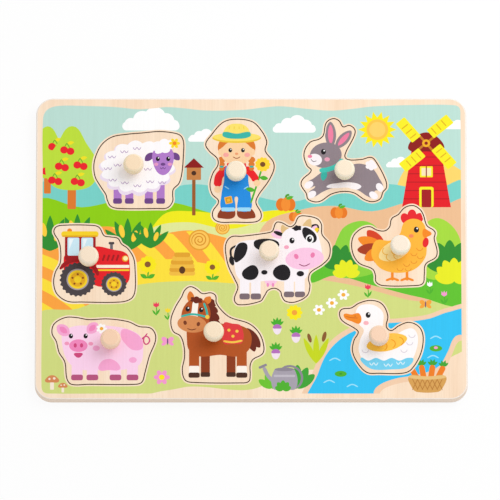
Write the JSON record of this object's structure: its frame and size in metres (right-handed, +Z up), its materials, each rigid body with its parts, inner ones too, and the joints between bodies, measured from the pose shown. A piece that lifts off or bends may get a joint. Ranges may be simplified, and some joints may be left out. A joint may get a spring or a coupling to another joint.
{
  "type": "wooden knob puzzle",
  "caption": "Flat wooden puzzle board with a printed farm picture, whose animal, farmer and tractor pieces lift out of fitted cut-outs by turned wooden knobs.",
  "frame": {"origin": "centre of the board's underside", "axes": "+X along the board's long side, to the right of the picture; +Y along its short side, towards the top of the picture; +Z up out of the picture, along the knobs"},
  "size_m": [0.3, 0.22, 0.022],
  "materials": {
    "birch_backing": "sanded, bare",
    "printed_birch": "printed, satin",
    "turned_beech": "turned and sanded, satin",
    "sheep_print": "printed, satin",
    "farmer_print": "printed, satin",
    "rabbit_print": "printed, satin",
    "tractor_print": "printed, satin",
    "cow_print": "printed, satin",
    "hen_print": "printed, satin",
    "pig_print": "printed, satin",
    "horse_print": "printed, satin",
    "duck_print": "printed, satin"
  },
  "bodies": {
    "board": {"backing_board": "birch_backing", "frame_plate": "printed_birch"},
    "sheep": {"sheep_piece": "sheep_print", "sheep_knob": "turned_beech"},
    "farmer": {"farmer_piece": "farmer_print", "farmer_knob": "turned_beech"},
    "rabbit": {"rabbit_piece": "rabbit_print", "rabbit_knob": "turned_beech"},
    "tractor": {"tractor_piece": "tractor_print", "tractor_knob": "turned_beech"},
    "cow": {"cow_piece": "cow_print", "cow_knob": "turned_beech"},
    "hen": {"hen_piece": "hen_print", "hen_knob": "turned_beech"},
    "pig": {"pig_piece": "pig_print", "pig_knob": "turned_beech"},
    "horse": {"horse_piece": "horse_print", "horse_knob": "turned_beech"},
    "duck": {"duck_piece": "duck_print", "duck_knob": "turned_beech"}
  },
  "joints": [
    {"name": "sheep_lift", "type": "slide", "parent": "board", "child": "sheep", "axis": [0, 0, 1], "range_m": [0, 0.03]},
    {"name": "farmer_lift", "type": "slide", "parent": "board", "child": "farmer", "axis": [0, 0, 1], "range_m": [0, 0.03]},
    {"name": "rabbit_lift", "type": "slide", "parent": "board", "child": "rabbit", "axis": [0, 0, 1], "range_m": [0, 0.03]},
    {"name": "tractor_lift", "type": "slide", "parent": "board", "child": "tractor", "axis": [0, 0, 1], "range_m": [0, 0.03]},
    {"name": "cow_lift", "type": "slide", "parent": "board", "child": "cow", "axis": [0, 0, 1], "range_m": [0, 0.03]},
    {"name": "hen_lift", "type": "slide", "parent": "board", "child": "hen", "axis": [0, 0, 1], "range_m": [0, 0.03]},
    {"name": "pig_lift", "type": "slide", "parent": "board", "child": "pig", "axis": [0, 0, 1], "range_m": [0, 0.03]},
    {"name": "horse_lift", "type": "slide", "parent": "board", "child": "horse", "axis": [0, 0, 1], "range_m": [0, 0.03]},
    {"name": "duck_lift", "type": "slide", "parent": "board", "child": "duck", "axis": [0, 0, 1], "range_m": [0, 0.03]}
  ]
}
